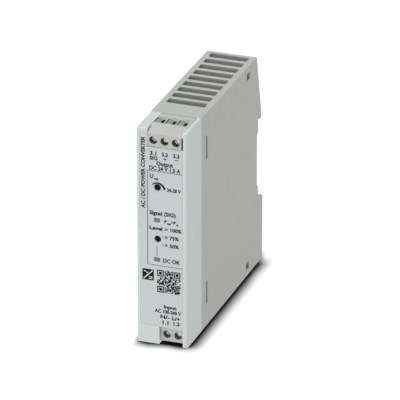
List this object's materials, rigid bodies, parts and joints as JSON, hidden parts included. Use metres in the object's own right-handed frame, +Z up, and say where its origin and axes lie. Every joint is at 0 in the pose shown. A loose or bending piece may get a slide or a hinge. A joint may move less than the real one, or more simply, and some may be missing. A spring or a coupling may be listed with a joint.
{
  "type": "din rail power supply",
  "caption": "Narrow vented power supply housing with front screw terminals, printed front panel, set-point trimmer, selector and a sprung latch for a 35 mm top-hat rail.",
  "frame": {"origin": "centre of the bounding box on the bottom face", "axes": "+Z up as mounted on a horizontal rail, -Y out of the printed front face, +Y towards the rail, +X to the right seen from the front"},
  "size_m": [0.0226, 0.0962, 0.099],
  "materials": {
    "housing_plastic": "light grey polycarbonate, fine spark-eroded texture",
    "cover_plastic": "pale greenish grey polycarbonate, fine satin texture",
    "label_film": "matt printed polyester film",
    "terminal_plastic": "warm light grey polyamide, satin",
    "zinc_steel": "bright zinc-plated steel",
    "tinned_copper": "tin-plated copper strip",
    "board_laminate": "green solder mask over glass-epoxy laminate",
    "insulating_film": "translucent aramid-polyester film",
    "black_epoxy": "moulded black epoxy",
    "brown_moulding": "brown moulded plastic",
    "green_coating": "dull dark green epoxy coating",
    "blue_coating": "blue epoxy coating",
    "yellow_box": "yellow moulded plastic box",
    "copper_winding": "enamelled copper wire",
    "aluminium_can": "aluminium can in a dark printed sleeve",
    "aluminium_sheet": "bent aluminium sheet, as rolled",
    "ferrite": "dull dark grey ferrite",
    "winding_tape": "yellow polyester tape over the winding",
    "white_plastic": "off-white moulded plastic",
    "blue_plastic": "blue moulded plastic",
    "dark_plastic": "dark grey moulded plastic",
    "light_pipe_plastic": "clear polycarbonate, frosted front face",
    "led_lens": "tinted epoxy lens, unlit",
    "latch_plastic": "mid grey glass-filled polyamide",
    "spring_steel": "bare spring steel wire"
  },
  "bodies": {
    "housing": {"main_housing": "housing_plastic", "front_cover": "cover_plastic", "front_label": "label_film", "output_terminal_block": "terminal_plastic", "input_terminal_block": "terminal_plastic", "potentiometer_body": "blue_plastic", "selector_switch_body": "black_epoxy", "signal_light_pipe": "light_pipe_plastic", "signal_led": "led_lens", "dc_ok_light_pipe": "light_pipe_plastic", "dc_ok_led": "led_lens", "latch_spring": "spring_steel", "circuit_board": "board_laminate", "insulating_sheet": "insulating_film", "input_fuse": "brown_moulding", "inrush_thermistor": "green_coating", "varistor": "blue_coating", "suppression_capacitor": "yellow_box", "common_mode_choke": "copper_winding", "bridge_rectifier": "black_epoxy", "bulk_capacitor": "aluminium_can", "switching_transistor": "black_epoxy", "primary_heatsink": "aluminium_sheet", "transformer_core": "ferrite", "transformer_winding": "winding_tape", "control_ic": "black_epoxy", "optocoupler": "white_plastic", "safety_capacitor": "blue_coating", "output_rectifier": "black_epoxy", "secondary_heatsink": "aluminium_sheet", "output_capacitor_1": "aluminium_can", "output_capacitor_2": "aluminium_can", "output_choke": "copper_winding", "output_contact_bar_1": "tinned_copper", "output_contact_bar_2": "tinned_copper", "output_contact_bar_3": "tinned_copper", "input_contact_bar_1": "tinned_copper", "input_contact_bar_2": "tinned_copper"},
    "output_clamp_screw_1": {"output_clamp_screw_1": "zinc_steel"},
    "output_clamp_cage_1": {"output_clamp_cage_1": "zinc_steel"},
    "output_clamp_screw_2": {"output_clamp_screw_2": "zinc_steel"},
    "output_clamp_cage_2": {"output_clamp_cage_2": "zinc_steel"},
    "output_clamp_screw_3": {"output_clamp_screw_3": "zinc_steel"},
    "output_clamp_cage_3": {"output_clamp_cage_3": "zinc_steel"},
    "input_clamp_screw_1": {"input_clamp_screw_1": "zinc_steel"},
    "input_clamp_cage_1": {"input_clamp_cage_1": "zinc_steel"},
    "input_clamp_screw_2": {"input_clamp_screw_2": "zinc_steel"},
    "input_clamp_cage_2": {"input_clamp_cage_2": "zinc_steel"},
    "potentiometer_rotor": {"potentiometer_rotor": "dark_plastic"},
    "selector_switch_rotor": {"selector_switch_rotor": "dark_plastic"},
    "rail_latch": {"rail_latch": "latch_plastic"}
  },
  "joints": [
    {"name": "output_screw_1_turn", "type": "hinge", "parent": "housing", "child": "output_clamp_screw_1", "pos_m": [-0.00385, -0.0473, 0.0939], "axis": [0, 1, 0], "range_deg": [0, 2520]},
    {"name": "output_cage_1_travel", "type": "slide", "parent": "housing", "child": "output_clamp_cage_1", "axis": [0, -1, 0], "range_m": [0, 0.0035]},
    {"name": "output_screw_2_turn", "type": "hinge", "parent": "housing", "child": "output_clamp_screw_2", "pos_m": [0.00115, -0.0473, 0.0939], "axis": [0, 1, 0], "range_deg": [0, 2520]},
    {"name": "output_cage_2_travel", "type": "slide", "parent": "housing", "child": "output_clamp_cage_2", "axis": [0, -1, 0], "range_m": [0, 0.0035]},
    {"name": "output_screw_3_turn", "type": "hinge", "parent": "housing", "child": "output_clamp_screw_3", "pos_m": [0.00615, -0.0473, 0.0939], "axis": [0, 1, 0], "range_deg": [0, 2520]},
    {"name": "output_cage_3_travel", "type": "slide", "parent": "housing", "child": "output_clamp_cage_3", "axis": [0, -1, 0], "range_m": [0, 0.0035]},
    {"name": "input_screw_1_turn", "type": "hinge", "parent": "housing", "child": "input_clamp_screw_1", "pos_m": [0.00145, -0.0457, 0.00425], "axis": [0, 1, 0], "range_deg": [0, 2520]},
    {"name": "input_cage_1_travel", "type": "slide", "parent": "housing", "child": "input_clamp_cage_1", "axis": [0, -1, 0], "range_m": [0, 0.0035]},
    {"name": "input_screw_2_turn", "type": "hinge", "parent": "housing", "child": "input_clamp_screw_2", "pos_m": [0.00645, -0.0457, 0.00425], "axis": [0, 1, 0], "range_deg": [0, 2520]},
    {"name": "input_cage_2_travel", "type": "slide", "parent": "housing", "child": "input_clamp_cage_2", "axis": [0, -1, 0], "range_m": [0, 0.0035]},
    {"name": "potentiometer_turn", "type": "hinge", "parent": "housing", "child": "potentiometer_rotor", "pos_m": [-0.002, -0.0463, 0.0726], "axis": [0, 1, 0], "range_deg": [-135, 135]},
    {"name": "selector_turn", "type": "hinge", "parent": "housing", "child": "selector_switch_rotor", "pos_m": [-0.002, -0.0463, 0.0489], "axis": [0, 1, 0], "range_deg": [-45, 45]},
    {"name": "latch_release", "type": "slide", "parent": "housing", "child": "rail_latch", "axis": [0, 0, -1], "range_m": [0, 0.003], "stiffness_N_per_m": 1500, "springref_m": -0.0015, "deforming": ["latch_spring"]}
  ],
  "couplings": [
    {"joint": "output_screw_1_turn", "follows": "output_cage_1_travel", "rad_per_m": 12566},
    {"joint": "output_screw_2_turn", "follows": "output_cage_2_travel", "rad_per_m": 12566},
    {"joint": "output_screw_3_turn", "follows": "output_cage_3_travel", "rad_per_m": 12566},
    {"joint": "input_screw_1_turn", "follows": "input_cage_1_travel", "rad_per_m": 12566},
    {"joint": "input_screw_2_turn", "follows": "input_cage_2_travel", "rad_per_m": 12566}
  ]
}
